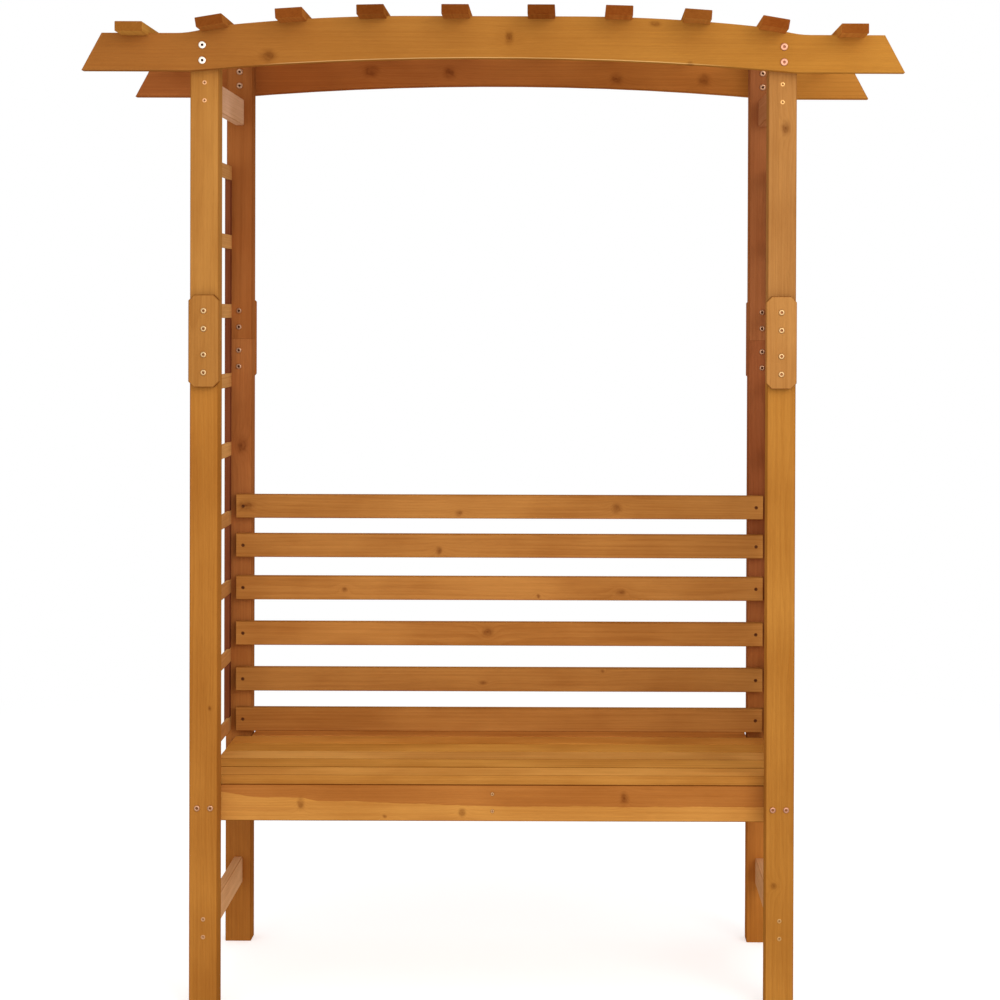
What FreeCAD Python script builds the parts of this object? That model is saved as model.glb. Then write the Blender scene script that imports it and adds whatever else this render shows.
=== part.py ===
import FreeCAD, Part
import math
import os

# Timber arbour seat. Four two-part posts carry two arched beams and ten roof slats. A slatted
# bench and back stand between them, with a trellis panel on each side.
# Sizes are in millimetres. X runs along the bench, Y from the front to the back, and Z up.
# The origin is on the ground below the middle of the roof.

# Posts
frame_width = 1152.0        # over the outer faces of the posts
frame_depth = 475.0         # over the front and back faces of the posts
post_width = 54.0
post_depth = 45.0
post_joint = 1269.0         # height at which a lower post ends and an upper one begins
post_top = 1847.0

# Splice plates over the post joints
plate_width = 58.0
plate_thickness = 18.0
plate_bottom = 1182.5
plate_top = 1358.0
plate_corner = 11.0         # cut off each corner
plate_insets = {"front": 2.0, "rear": -1.0}     # how much nearer the middle than the posts they sit
splice_bolt_rises = (-58.5, -24.5, 24.5, 58.5)

# Arched beams on the outer faces of the posts
beam_thickness = 25.0
beam_foot_half = 777.5      # half the length along the underside
beam_top_half = 739.5       # half the length along the top, so that the ends slant
beam_flat_bottom = 1781.0
beam_flat_top = 1851.7
crown_top = 1885.3
crown_bottom = 1806.3
crown_flat_half = 150.0     # half the length of the crown's level middle
crown_radius = 3400.0       # of the arc on each side of it
crown_half = 498.0          # half the length of the crown, where the shoulders begin
belly_half = 575.0          # half the span of the arc along the underside
shoulder_slope = math.radians(11.5)
shoulder_round = 260.0      # radius where the crown turns down into the shoulder
cove_radius = 178.0         # radius where the shoulder turns out into the flat end
beam_bolt_heights = (1800.0, 1829.0)

# Roof slats, spaced a little unevenly
roof_slat_width = 51.0
roof_slat_thickness = 18.5
roof_slat_length = 649.0
roof_slat_housing = 5.0     # depth let into the beams
roof_slat_ease = 0.8        # planed off its long edges
roof_slat_places = (-676.0, -525.8, -377.9, -226.8, -69.0, 91.1, 236.6, 383.0, 526.9, 675.0)
shoulder_slat_tilt = math.radians(9.5)          # a little flatter than the shoulder below

# Side rails near the top and stretchers near the ground
side_rail_thickness = 18.0
side_rail_height = 54.0
side_rail_levels = {"top": 1744.0, "lower": 151.0}
side_screw_spacing = 34.0

# Trellis panels, flush with the outer faces of the posts
strip_thickness = 5.5       # of the rungs, and of the laths outside them
strip_width = 29.0
stile_width = 22.0
rung_count = 9
lowest_rung = 460.0
rung_pitch = 144.5
lath_count = 3
lath_pitch = 82.0
lath_overrun = 30.0         # a lath stands past the outermost rungs by this much

# Back slats, on the front faces of the rear posts
back_slat_length = 1104.0
back_slat_height = 49.5
back_slat_thickness = 18.0
back_slat_bottoms = (446.5, 531.0, 627.0, 722.5, 811.5, 893.5)
back_screw_offset = 537.5

# Seat
seat_top = 434.5
seat_slat_thickness = 18.0
seat_slat_width = 72.0
seat_slat_pitch = 76.2
seat_slat_length = 1106.0
seat_full_slats = 5         # a sixth, shorter one lies between the rear posts
seat_rail_thickness = 18.0
seat_rail_height = 70.5
bearer_thickness = 24.0
bearer_offset = 541.0
seat_bolt_offsets = (535.5, 561.0)
seat_bolt_height = 380.0
bearer_screw_heights = (365.5, 398.5)
rear_slat_clearance = 2.0

# Fasteners
beam_head_radius = 7.2
beam_nut_radius = 6.4
small_head_radius = 5.6     # of the splice bolts, at both ends, and of the seat bolts
bolt_head_height = 2.4
bolt_head_taper = 1.0       # the face of a head is smaller in radius by this much
bolt_radius = 3.2
bolt_head_sides = 10
seat_bolt_length = 61.0
screw_head_radius = 4.2
screw_head_depth = 3.0
screw_radius = 2.2
frame_screw_length = 70.0
slat_screw_length = 40.0
screw_sides = 6

eased_edge = 1.5            # small flat planed along every long edge

V = FreeCAD.Vector

post_centre = (frame_width - post_width) / 2
post_inner = frame_width / 2 - post_width
outer_y = frame_depth / 2               # front and back faces of the frame
inner_y = outer_y - post_depth          # faces of the posts that look at each other
seat_rail_top = seat_top - seat_slat_thickness
seat_rail_bottom = seat_rail_top - seat_rail_height
highest_rung = lowest_rung + (rung_count - 1) * rung_pitch

sides = {"left": -1, "right": 1}
ends = {"front": -1, "rear": 1}

boards = {}
groups = {}
cuts = {}


def polygon_face(points):
    """Flat face through a closed run of corner points."""
    return Part.Face(Part.makePolygon(points + points[:1]))


def box(x_range, y_range, z_range):
    """Plain box between two corners."""
    corner = V(x_range[0], y_range[0], z_range[0])
    return Part.makeBox(
        x_range[1] - x_range[0],
        y_range[1] - y_range[0],
        z_range[1] - z_range[0],
        corner,
    )


def eased_board(x_range, y_range, z_range, along, ease=eased_edge):
    """Planed board whose four long edges are eased. It runs along the named axis."""
    ranges = [x_range, y_range, z_range]
    run = "xyz".index(along)
    across = [axis for axis in range(3) if axis != run]
    (a0, a1), (b0, b1) = ranges[across[0]], ranges[across[1]]
    section = [
        (a0 + ease, b0), (a1 - ease, b0), (a1, b0 + ease), (a1, b1 - ease),
        (a1 - ease, b1), (a0 + ease, b1), (a0, b1 - ease), (a0, b0 + ease),
    ]
    points = []
    for a, b in section:
        place = [0.0, 0.0, 0.0]
        place[run] = ranges[run][0]
        place[across[0]] = a
        place[across[1]] = b
        points.append(V(*place))
    reach = [0.0, 0.0, 0.0]
    reach[run] = ranges[run][1] - ranges[run][0]
    return polygon_face(points).extrude(V(*reach))


def span(middle, width):
    """Range of a given width about its middle."""
    return (middle - width / 2, middle + width / 2)


def ordered(a, b):
    """Range between two values, lowest first."""
    return (min(a, b), max(a, b))


def fasten(group, solid, *nodes):
    """Keeps a fastener in its group and lets it into the boards that it joins."""
    groups.setdefault(group, []).append(solid)
    for node in nodes:
        cuts.setdefault(node, []).append(solid)


def ring(x, y, z, radius, count):
    """Wire of a regular polygon that faces along Y."""
    points = []
    for index in range(count):
        angle = 2 * math.pi * index / count
        points.append(V(x + radius * math.cos(angle), y, z + radius * math.sin(angle)))
    return Part.makePolygon(points + points[:1])


def rod(x, y, z, radius, length, count, end_radius=None):
    """Many-sided rod along Y, tapered where an end radius is given."""
    start = ring(x, y, z, radius, count)
    finish = ring(x, y + length, z, end_radius or radius, count)
    return Part.makeLoft([start, finish], True, True)


def bolt_head(x, y, z, outward, radius):
    """Flat round head on the face at y."""
    face_radius = radius - bolt_head_taper
    return rod(x, y, z, radius, outward * bolt_head_height, bolt_head_sides, face_radius)


def blind_bolt(x, y, z, inward, length, head_radius):
    """Bolt with its head on the face at y. The shank runs inward, 1 for the back."""
    shank = rod(x, y, z, bolt_radius, inward * length, screw_sides)
    return bolt_head(x, y, z, -inward, head_radius).fuse(shank)


def through_bolt(x, y, z, inward, grip, head_radius, nut_radius):
    """Bolt and its sleeve nut, which ends in a head of its own on the far face."""
    nut = bolt_head(x, y + inward * grip, z, inward, nut_radius)
    return blind_bolt(x, y, z, inward, grip, head_radius).fuse(nut)


def screw(x, y, z, inward, length):
    """Countersunk screw whose head is flush with the face at y."""
    head = rod(x, y, z, screw_head_radius, inward * screw_head_depth, screw_sides, screw_radius)
    shank = rod(x, y + inward * screw_head_depth, z, screw_radius, inward * (length - screw_head_depth),
                screw_sides)
    return head.fuse(shank)


# Posts and splice plates

def make_posts():
    """Four posts, each in a lower and an upper piece with a plate over the joint."""
    for end, back in ends.items():
        for side, right in sides.items():
            x = span(right * post_centre, post_width)
            y = ordered(back * inner_y, back * outer_y)
            lower = f"{end}_{side}_lower_post"
            upper = f"{end}_{side}_upper_post"
            boards[lower] = eased_board(x, y, (0.0, post_joint), "z")
            boards[upper] = eased_board(x, y, (post_joint, post_top), "z")
            make_splice(end, side, lower, upper)


def make_splice(end, side, lower, upper):
    """Plate on the outer face of a post, with its bolts."""
    back = ends[end]
    x = sides[side] * (post_centre - plate_insets[end])
    half = plate_width / 2
    start = back * outer_y
    outline = [
        V(x - half + plate_corner, start, plate_bottom),
        V(x + half - plate_corner, start, plate_bottom),
        V(x + half, start, plate_bottom + plate_corner),
        V(x + half, start, plate_top - plate_corner),
        V(x + half - plate_corner, start, plate_top),
        V(x - half + plate_corner, start, plate_top),
        V(x - half, start, plate_top - plate_corner),
        V(x - half, start, plate_bottom + plate_corner),
    ]
    plate = f"{end}_{side}_splice_plate"
    solid = polygon_face(outline).extrude(V(0, back * plate_thickness, 0))
    face = back * (outer_y + plate_thickness)
    rim = [edge for edge in solid.Edges if all(abs(v.Y - face) < 0.01 for v in edge.Vertexes)]
    boards[plate] = solid.makeChamfer(eased_edge, rim)
    grip = plate_thickness + post_depth
    for rise in splice_bolt_rises:
        bolt = through_bolt(x, face, post_joint + rise, -back, grip, small_head_radius, small_head_radius)
        post = upper if rise > 0 else lower
        fasten("splice_bolts", bolt, plate, post)


# Beams and roof

def crown_slope(x):
    """Slope of the crown's top at x. It is level in the middle and falls in an arc on each side."""
    return math.asin(max(0.0, abs(x) - crown_flat_half) / crown_radius)


def crown_height(x):
    """Height of the crown's top at x."""
    return crown_top - crown_radius * (1 - math.cos(crown_slope(x)))


def shoulder_points():
    """Points (x, z) along the right shoulder, from the crown out to the flat end."""
    start_slope = crown_slope(crown_half)
    middle_slope = (start_slope + shoulder_slope) / 2

    def round_point(slope):
        x = crown_half + shoulder_round * (math.sin(slope) - math.sin(start_slope))
        z = crown_height(crown_half) - shoulder_round * (math.cos(start_slope) - math.cos(slope))
        return (x, z)

    crown_end = round_point(start_slope)
    round_middle = round_point(middle_slope)
    round_end = round_point(shoulder_slope)
    cove_rise = cove_radius * (1 - math.cos(shoulder_slope))
    run_drop = round_end[1] - beam_flat_top - cove_rise
    run_end = (round_end[0] + run_drop / math.tan(shoulder_slope), beam_flat_top + cove_rise)
    flat_start = (run_end[0] + cove_radius * math.sin(shoulder_slope), beam_flat_top)
    half_slope = shoulder_slope / 2
    cove_middle = (
        flat_start[0] - cove_radius * math.sin(half_slope),
        beam_flat_top + cove_radius * (1 - math.cos(half_slope)),
    )
    return [crown_end, round_middle, round_end, run_end, cove_middle, flat_start]


def beam_outline(y):
    """Closed wire of the arched beam's front, in the plane at y."""
    shoulder = [V(x, y, z) for x, z in shoulder_points()]
    mirrored = [V(-point.x, y, point.z) for point in shoulder]
    foot = V(beam_foot_half, y, beam_flat_bottom)
    tip = V(beam_top_half, y, beam_flat_top)
    belly = V(belly_half, y, beam_flat_bottom)
    level_end = V(crown_flat_half, y, crown_top)
    arc_place = (crown_flat_half + crown_half) / 2
    arc_middle = V(arc_place, y, crown_height(arc_place))
    left_foot = V(-foot.x, y, foot.z)
    left_tip = V(-tip.x, y, tip.z)
    left_belly = V(-belly.x, y, belly.z)
    left_level_end = V(-level_end.x, y, level_end.z)
    left_arc_middle = V(-arc_middle.x, y, arc_middle.z)

    def line(a, b):
        return Part.LineSegment(a, b).toShape()

    def arc(a, b, c):
        return Part.Arc(a, b, c).toShape()

    return Part.Wire([
        line(left_foot, left_belly),
        arc(left_belly, V(0, y, crown_bottom), belly),
        line(belly, foot),
        line(foot, tip),
        line(tip, shoulder[5]),
        arc(shoulder[5], shoulder[4], shoulder[3]),
        line(shoulder[3], shoulder[2]),
        arc(shoulder[2], shoulder[1], shoulder[0]),
        arc(shoulder[0], arc_middle, level_end),
        line(level_end, left_level_end),
        arc(left_level_end, left_arc_middle, mirrored[0]),
        arc(mirrored[0], mirrored[1], mirrored[2]),
        line(mirrored[2], mirrored[3]),
        arc(mirrored[3], mirrored[4], mirrored[5]),
        line(mirrored[5], left_tip),
        line(left_tip, left_foot),
    ])


def roof_slat_seat(x):
    """Height of the beam's top edge under a roof slat at x, and the slat's tilt down to that side."""
    points = shoulder_points()
    run_start, run_end = points[2], points[3]
    if abs(x) <= crown_half:
        return crown_height(x), crown_slope(x)
    if abs(x) <= run_end[0]:
        return run_start[1] - (abs(x) - run_start[0]) * math.tan(shoulder_slope), shoulder_slat_tilt
    return beam_flat_top, 0.0


def roof_slat_blank(x, solid):
    """Puts a slat that is drawn level at the origin where it lies on the beams."""
    height, tilt = roof_slat_seat(x)
    placed = solid.copy()
    placed.rotate(V(0, 0, 0), V(0, 1, 0), math.degrees(math.copysign(tilt, x)))
    placed.translate(V(x, 0, height))
    return placed


def make_roof():
    """Two beams with a housing for each of the ten slats."""
    x = span(0, roof_slat_width)
    y = span(0, roof_slat_length)
    z = (-roof_slat_housing, roof_slat_thickness - roof_slat_housing)
    slat = eased_board(x, y, z, "y", roof_slat_ease)
    housing = box(x, y, z)
    housings = []
    for number, place in enumerate(roof_slat_places, start=1):
        boards[f"roof_slat_{number:02d}"] = roof_slat_blank(place, slat)
        housings.append(roof_slat_blank(place, housing))
    for end, back in ends.items():
        wire = beam_outline(back * outer_y)
        beam = Part.Face(wire).extrude(V(0, back * beam_thickness, 0))
        faces = (back * outer_y, back * (outer_y + beam_thickness))
        rims = []
        for edge in beam.Edges:
            levels = [vertex.Y for vertex in edge.Vertexes]
            if any(all(abs(level - face) < 0.01 for level in levels) for face in faces):
                rims.append(edge)
        beam = beam.makeChamfer(eased_edge, rims)
        boards[f"{end}_beam"] = beam.cut(housings)
        make_beam_bolts(end)


def make_beam_bolts(end):
    """Two bolts through a beam and each post behind it."""
    back = ends[end]
    face = back * (outer_y + beam_thickness)
    grip = beam_thickness + post_depth
    for side, right in sides.items():
        for height in beam_bolt_heights:
            bolt = through_bolt(right * post_centre, face, height, -back, grip, beam_head_radius,
                                beam_nut_radius)
            fasten("beam_bolts", bolt, f"{end}_beam", f"{end}_{side}_upper_post")


# Side rails, stretchers and trellis

def make_side_rails():
    """Rail at the top and stretcher near the ground on each side, screwed through the posts."""
    pieces = {"top": ("side_rail", "upper"), "lower": ("side_stretcher", "lower")}
    for side, right in sides.items():
        for level, (kind, part) in pieces.items():
            height = side_rail_levels[level]
            node = f"{side}_{level}_{kind}"
            x = right * post_centre
            boards[node] = eased_board(
                span(x, side_rail_thickness),
                (-inner_y, inner_y),
                span(height, side_rail_height),
                "y",
            )
            for end, back in ends.items():
                for rise in span(0, side_screw_spacing):
                    solid = screw(x, back * outer_y, height + rise, -back, frame_screw_length)
                    fasten("frame_screws", solid, f"{end}_{side}_{part}_post", node)


def make_trellis():
    """Rungs let into a stile at each post, with upright laths on their outer side."""
    panel_outer = frame_width / 2
    panel_inner = panel_outer - 2 * strip_thickness
    strip_middle = panel_outer - strip_thickness
    bottom = lowest_rung - strip_width / 2
    top = highest_rung + strip_width / 2
    for side, right in sides.items():
        both_layers = ordered(right * panel_inner, right * panel_outer)
        inner_layer = ordered(right * panel_inner, right * strip_middle)
        outer_layer = ordered(right * strip_middle, right * panel_outer)
        rungs = []
        for index in range(rung_count):
            height = lowest_rung + index * rung_pitch
            rungs.append(box(inner_layer, (-inner_y, inner_y), span(height, strip_width)))
        groups[f"{side}_trellis_rungs"] = rungs
        for end, back in ends.items():
            y = ordered(back * (inner_y - stile_width), back * inner_y)
            node = f"{side}_trellis_{end}_stile"
            boards[node] = box(both_layers, y, (bottom, top))
            cuts.setdefault(node, []).extend(rungs)
        laths = []
        for index in range(lath_count):
            middle = (index - (lath_count - 1) / 2) * lath_pitch
            z = (bottom - lath_overrun, top + lath_overrun)
            laths.append(box(outer_layer, span(middle, strip_width), z))
        groups[f"{side}_trellis_laths"] = laths


# Back and seat

def make_back():
    """Six slats screwed to the front faces of the rear posts."""
    face = inner_y - back_slat_thickness
    for number, bottom in enumerate(reversed(back_slat_bottoms), start=1):
        node = f"back_slat_{number}"
        x = span(0, back_slat_length)
        boards[node] = eased_board(x, (face, inner_y), (bottom, bottom + back_slat_height), "x")
        middle = bottom + back_slat_height / 2
        for side, right in sides.items():
            solid = screw(right * back_screw_offset, face, middle, 1, slat_screw_length)
            fasten("back_slat_screws", solid, node, f"rear_{side}_lower_post")


def make_seat_rails():
    """Rail behind the front posts and one behind the rear posts, each bolted to both posts."""
    starts = {"front": -inner_y, "rear": outer_y}
    heads = {"front": -outer_y, "rear": outer_y + seat_rail_thickness}
    for end, start in starts.items():
        node = f"{end}_seat_rail"
        boards[node] = eased_board(
            span(0, frame_width),
            (start, start + seat_rail_thickness),
            (seat_rail_bottom, seat_rail_top),
            "x",
        )
        for side, right in sides.items():
            for offset in seat_bolt_offsets:
                bolt = blind_bolt(right * offset, heads[end], seat_bolt_height, -ends[end], seat_bolt_length,
                                  small_head_radius)
                fasten("seat_bolts", bolt, node, f"{end}_{side}_lower_post")


def make_bearer(node, x, back_end, rear_screw_face, rear_board):
    """Bearer on edge behind the front rail, held by two screws at each end."""
    front_end = -inner_y + seat_rail_thickness
    boards[node] = eased_board(
        span(x, bearer_thickness), (front_end, back_end), (seat_rail_bottom, seat_rail_top), "y"
    )
    for height in bearer_screw_heights:
        front = screw(x, -inner_y, height, 1, frame_screw_length)
        rear = screw(x, rear_screw_face, height, -1, frame_screw_length)
        fasten("frame_screws", front, "front_seat_rail", node)
        fasten("frame_screws", rear, rear_board, node)


def make_seat():
    """Rails, three bearers and six slats."""
    make_seat_rails()
    for side, right in sides.items():
        make_bearer(f"{side}_seat_bearer", right * bearer_offset, inner_y, outer_y, f"rear_{side}_lower_post")
    make_bearer("middle_seat_bearer", 0.0, outer_y, outer_y + seat_rail_thickness, "rear_seat_rail")
    z = (seat_rail_top, seat_top)
    for index in range(seat_full_slats):
        start = -inner_y + index * seat_slat_pitch
        boards[f"seat_slat_{index + 1}"] = eased_board(
            span(0, seat_slat_length), (start, start + seat_slat_width), z, "x"
        )
    start = -inner_y + seat_full_slats * seat_slat_pitch
    rear_half = post_inner - rear_slat_clearance
    boards[f"seat_slat_{seat_full_slats + 1}"] = eased_board(
        (-rear_half, rear_half), (start, outer_y + seat_rail_thickness), z, "x"
    )


def export_parts():
    """Lets the fasteners into the boards and writes one file per node."""
    os.makedirs("parts", exist_ok=True)
    for node, solid in boards.items():
        if node in cuts:
            solid = solid.cut(cuts[node])
        solid.exportStep(f"parts/{node}.step")
    for node, solids in groups.items():
        Part.makeCompound(solids).exportStep(f"parts/{node}.step")
    print(len(boards) + len(groups), "nodes")


make_posts()
make_roof()
make_side_rails()
make_trellis()
make_back()
make_seat()
export_parts()
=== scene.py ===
import math

import bmesh
import bpy
from mathutils import Matrix, Vector


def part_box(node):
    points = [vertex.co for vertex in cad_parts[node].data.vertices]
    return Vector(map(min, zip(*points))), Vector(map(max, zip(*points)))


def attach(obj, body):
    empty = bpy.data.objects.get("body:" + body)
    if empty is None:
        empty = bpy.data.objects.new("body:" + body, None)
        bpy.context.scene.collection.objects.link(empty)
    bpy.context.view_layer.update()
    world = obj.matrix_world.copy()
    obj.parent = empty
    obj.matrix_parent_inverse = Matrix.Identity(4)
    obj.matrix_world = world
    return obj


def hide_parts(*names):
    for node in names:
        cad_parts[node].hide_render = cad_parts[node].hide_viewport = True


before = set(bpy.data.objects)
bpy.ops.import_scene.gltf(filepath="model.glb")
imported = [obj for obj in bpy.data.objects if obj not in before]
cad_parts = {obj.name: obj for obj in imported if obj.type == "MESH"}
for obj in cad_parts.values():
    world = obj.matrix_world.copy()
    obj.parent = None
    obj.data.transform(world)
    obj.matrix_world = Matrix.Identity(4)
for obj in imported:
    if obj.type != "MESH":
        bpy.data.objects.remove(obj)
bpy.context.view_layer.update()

# Timber arbour seat in an orange-brown stain, in front of a white studio background.
# Sizes are in metres. X runs along the bench, Y from the front to the back, and Z up.

ends = {"front": -1, "rear": 1}         # with their signs along Y
sides = {"left": -1, "right": 1}        # with their signs along X


def srgb(red, green, blue):
    """Linear colour from 0 to 255 display values."""
    def linear(value):
        value /= 255
        return value / 12.92 if value <= 0.04045 else ((value + 0.055) / 1.055) ** 2.4
    return (linear(red), linear(green), linear(blue), 1.0)


# Node helpers

class Graph:
    """Short calls that add nodes to one tree. Each returns the socket that carries its result."""

    def __init__(self, tree):
        self.tree = tree

    def add(self, kind, **settings):
        node = self.tree.nodes.new(kind)
        for name, value in settings.items():
            setattr(node, name, value)
        return node

    def feed(self, socket, value):
        if isinstance(value, bpy.types.NodeSocket):
            self.tree.links.new(value, socket)
        elif value is not None:
            socket.default_value = value

    def math(self, operation, a, b=None, c=None):
        node = self.add("ShaderNodeMath", operation=operation)
        for socket, value in zip(node.inputs, (a, b, c)):
            self.feed(socket, value)
        return node.outputs[0]

    def vector_math(self, operation, a, b=None):
        node = self.add("ShaderNodeVectorMath", operation=operation)
        self.feed(node.inputs[0], a)
        self.feed(node.inputs[1], b)
        return node.outputs["Value" if operation == "LENGTH" else "Vector"]

    def combine(self, x, y, z):
        node = self.add("ShaderNodeCombineXYZ")
        for socket, value in zip(node.inputs, (x, y, z)):
            self.feed(socket, value)
        return node.outputs[0]

    def separate(self, vector):
        node = self.add("ShaderNodeSeparateXYZ")
        self.feed(node.inputs[0], vector)
        return node.outputs

    def noise(self, vector, scales, detail=2.0, roughness=0.5, colour=False):
        """Noise with its own scale along each axis."""
        node = self.add("ShaderNodeTexNoise")
        self.feed(node.inputs["Vector"], self.vector_math("MULTIPLY", vector, scales))
        node.inputs["Scale"].default_value = 1.0
        node.inputs["Detail"].default_value = detail
        node.inputs["Roughness"].default_value = roughness
        return node.outputs["Color" if colour else "Fac"]

    def ramp(self, factor, stops):
        """Value that follows (position, level) stops. A level is a number or a colour."""
        node = self.add("ShaderNodeValToRGB")
        elements = node.color_ramp.elements
        while len(elements) < len(stops):
            elements.new(0.5)
        for element, (position, level) in zip(elements, stops):
            element.position = position
            colour = level if isinstance(level, tuple) else (level, level, level)
            element.color = (*colour, 1.0)
        self.feed(node.inputs[0], factor)
        return node.outputs[0]

    def map_range(self, value, low, high, to_low=0.0, to_high=1.0, smooth=True):
        node = self.add("ShaderNodeMapRange", interpolation_type="SMOOTHSTEP" if smooth else "LINEAR")
        for socket, part in zip(node.inputs, (value, low, high, to_low, to_high)):
            self.feed(socket, part)
        return node.outputs[0]

    def mix(self, factor, a, b, blend="MIX"):
        node = self.add("ShaderNodeMix", data_type="RGBA", blend_type=blend)
        self.feed(node.inputs["Factor"], factor)
        self.feed(node.inputs["A"], a)
        self.feed(node.inputs["B"], b)
        return node.outputs["Result"]

    def group(self, tree, **inputs):
        node = self.add("ShaderNodeGroup", node_tree=tree)
        for name, value in inputs.items():
            self.feed(node.inputs[name], value)
        return node.outputs


def new_group(name, inputs, outputs):
    """Empty node group with its graph, input sockets and output node."""
    tree = bpy.data.node_groups.new(name, "ShaderNodeTree")
    for label, kind in inputs:
        tree.interface.new_socket(label, in_out="INPUT", socket_type=f"NodeSocket{kind}")
    for label, kind in outputs:
        tree.interface.new_socket(label, in_out="OUTPUT", socket_type=f"NodeSocket{kind}")
    graph = Graph(tree)
    return tree, graph, graph.add("NodeGroupInput").outputs, graph.add("NodeGroupOutput").inputs


# Stained softwood. Place holds a point of the board: along the run, across its face, through it.

ring_gap = 0.0042           # between two growth rings
ring_wander = 0.022         # how far the rings wander along a board
ring_stretch = 0.006        # how slowly the rings change along a board
uneven_rings = 2.2          # how much the gaps between the rings differ
knot_rings = 3.2            # rings that bend round the middle of a knot
knot_sway = 0.006           # how far the outline of a knot wanders
late_share = 0.17           # how much late wood, blotches and streaks deepen the stain
blotch_share = 0.50
streak_share = 0.28
pale_streak_share = 0.16
fibre_change = 0.07         # how much lighter or darker the fibres are than the wood round them
grain_relief = 0.0004
strip_seeds = 3.0           # range of the seeds in a piece that holds several strips
pale_streak_colour = (1.0, 0.82, 0.50, 1.0)
knot_tint = (0.42, 0.26, 0.22, 1.0)
end_grain_tint = (0.52, 0.40, 0.34, 1.0)


def make_knot_group():
    """One knot: how far it bends the rings, and how dark it is."""
    tree, g, given, result = new_group(
        "Knot",
        [("Place", "Vector"), ("Centre", "Vector"), ("Radius", "Float"), ("Stretch", "Float")],
        [("Field", "Float"), ("Dark", "Float")],
    )
    offset = g.vector_math("SUBTRACT", given["Place"], given["Centre"])
    sway = g.noise(given["Place"], (75.0, 75.0, 10.0), 3.0, 0.6, colour=True)
    sway = g.vector_math("SUBTRACT", sway, (0.5, 0.5, 0.5))
    offset = g.vector_math("ADD", offset, g.vector_math("MULTIPLY", sway, (knot_sway, knot_sway, 0.0)))
    along, across, _ = g.separate(offset)
    flat = g.combine(g.math("DIVIDE", along, given["Stretch"]), across, 0.0)
    distance = g.math("DIVIDE", g.vector_math("LENGTH", flat), given["Radius"])
    spread = g.math("MULTIPLY", distance, distance)
    field = g.math("DIVIDE", 1.0, g.math("MULTIPLY_ADD", spread, 0.32, 1.0))
    dark = g.ramp(
        g.math("MULTIPLY", distance, 0.4),
        [(0.0, 0.85), (0.16, 0.60), (0.30, 0.52), (0.38, 0.60), (0.50, 0.36), (0.70, 0.15), (0.95, 0.0)],
    )
    patch = g.map_range(g.noise(given["Place"], (70.0, 100.0, 10.0), 1.0), 0.32, 0.62, 0.55, 1.0)
    dark = g.math("MULTIPLY", dark, patch)
    g.feed(result["Field"], field)
    g.feed(result["Dark"], dark)
    return tree


def make_timber_group():
    """Grain, streaks and stain of one board."""
    tree, g, given, result = new_group(
        "Timber",
        [("Place", "Vector"), ("Seed", "Float"), ("Heart", "Vector"), ("Knots", "Float"), ("Dark", "Float"),
         ("Tone", "Color"), ("Deep", "Color"), ("Grain", "Float")],
        [("Colour", "Color"), ("Roughness", "Float"), ("Height", "Float")],
    )
    place = given["Place"]
    shift = g.combine(
        g.math("MULTIPLY", given["Seed"], 7.31),
        g.math("MULTIPLY", given["Seed"], 3.17),
        g.math("MULTIPLY", given["Seed"], 5.71),
    )
    seeded = g.vector_math("ADD", place, shift)

    # Growth rings about the heart of the tree, wandering a little along the board
    wander = g.noise(seeded, (1.6, 11.0, 11.0), 2.0, colour=True)
    wander = g.vector_math("SUBTRACT", wander, (0.5, 0.5, 0.5))
    wander = g.vector_math("MULTIPLY", wander, (0.0, ring_wander, ring_wander))
    from_heart = g.vector_math("SUBTRACT", g.vector_math("ADD", place, wander), given["Heart"])
    from_heart = g.vector_math("MULTIPLY", from_heart, (ring_stretch, 1.0, 1.0))
    count = g.math("DIVIDE", g.vector_math("LENGTH", from_heart), ring_gap)
    uneven = g.noise(g.combine(count, given["Seed"], 0.0), (0.55, 1.0, 1.0), 1.0)
    count = g.math("MULTIPLY_ADD", uneven, uneven_rings, count)
    count = g.math("MULTIPLY_ADD", given["Knots"], knot_rings, count)
    late = g.ramp(g.math("FRACT", count), [(0.0, 0.0), (0.45, 0.12), (0.80, 0.75), (0.90, 1.0), (1.0, 0.0)])

    # Stain that took unevenly, long streaks and fine fibres
    blotch = g.map_range(g.noise(seeded, (4.0, 7.0, 7.0), 3.0), 0.3, 0.7)
    streak = g.map_range(g.noise(seeded, (3.2, 190.0, 190.0), 4.0, 0.6), 0.28, 0.72)
    fibre = g.noise(seeded, (55.0, 1500.0, 1500.0), 2.0)
    pale = g.map_range(g.noise(seeded, (7.0, 420.0, 420.0), 2.0), 0.60, 0.78)

    depth = g.math("MULTIPLY", late, late_share)
    depth = g.math("MULTIPLY_ADD", blotch, blotch_share, depth)
    depth = g.math("MULTIPLY_ADD", streak, streak_share, depth)
    depth = g.math("MULTIPLY", depth, given["Grain"])
    colour = g.mix(depth, given["Tone"], given["Deep"])
    lift = g.mix(g.math("MULTIPLY", pale, pale_streak_share), colour, pale_streak_colour, "SOFT_LIGHT")
    fine = g.map_range(fibre, 0.25, 0.75, 1.0 - fibre_change, 1.0 + fibre_change, smooth=False)
    colour = g.mix(1.0, lift, g.combine(fine, fine, fine), "MULTIPLY")
    knot_colour = g.mix(1.0, given["Deep"], knot_tint, "MULTIPLY")
    colour = g.mix(given["Dark"], colour, knot_colour)

    roughness = g.math("MULTIPLY_ADD", streak, 0.09, 0.52)
    roughness = g.math("MULTIPLY_ADD", given["Dark"], -0.06, roughness)
    height = g.math("MULTIPLY_ADD", fibre, 0.35, g.math("MULTIPLY", late, 0.5))
    height = g.math("MULTIPLY_ADD", given["Dark"], 0.6, height)
    g.feed(result["Colour"], colour)
    g.feed(result["Roughness"], roughness)
    g.feed(result["Height"], height)
    return tree


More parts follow.
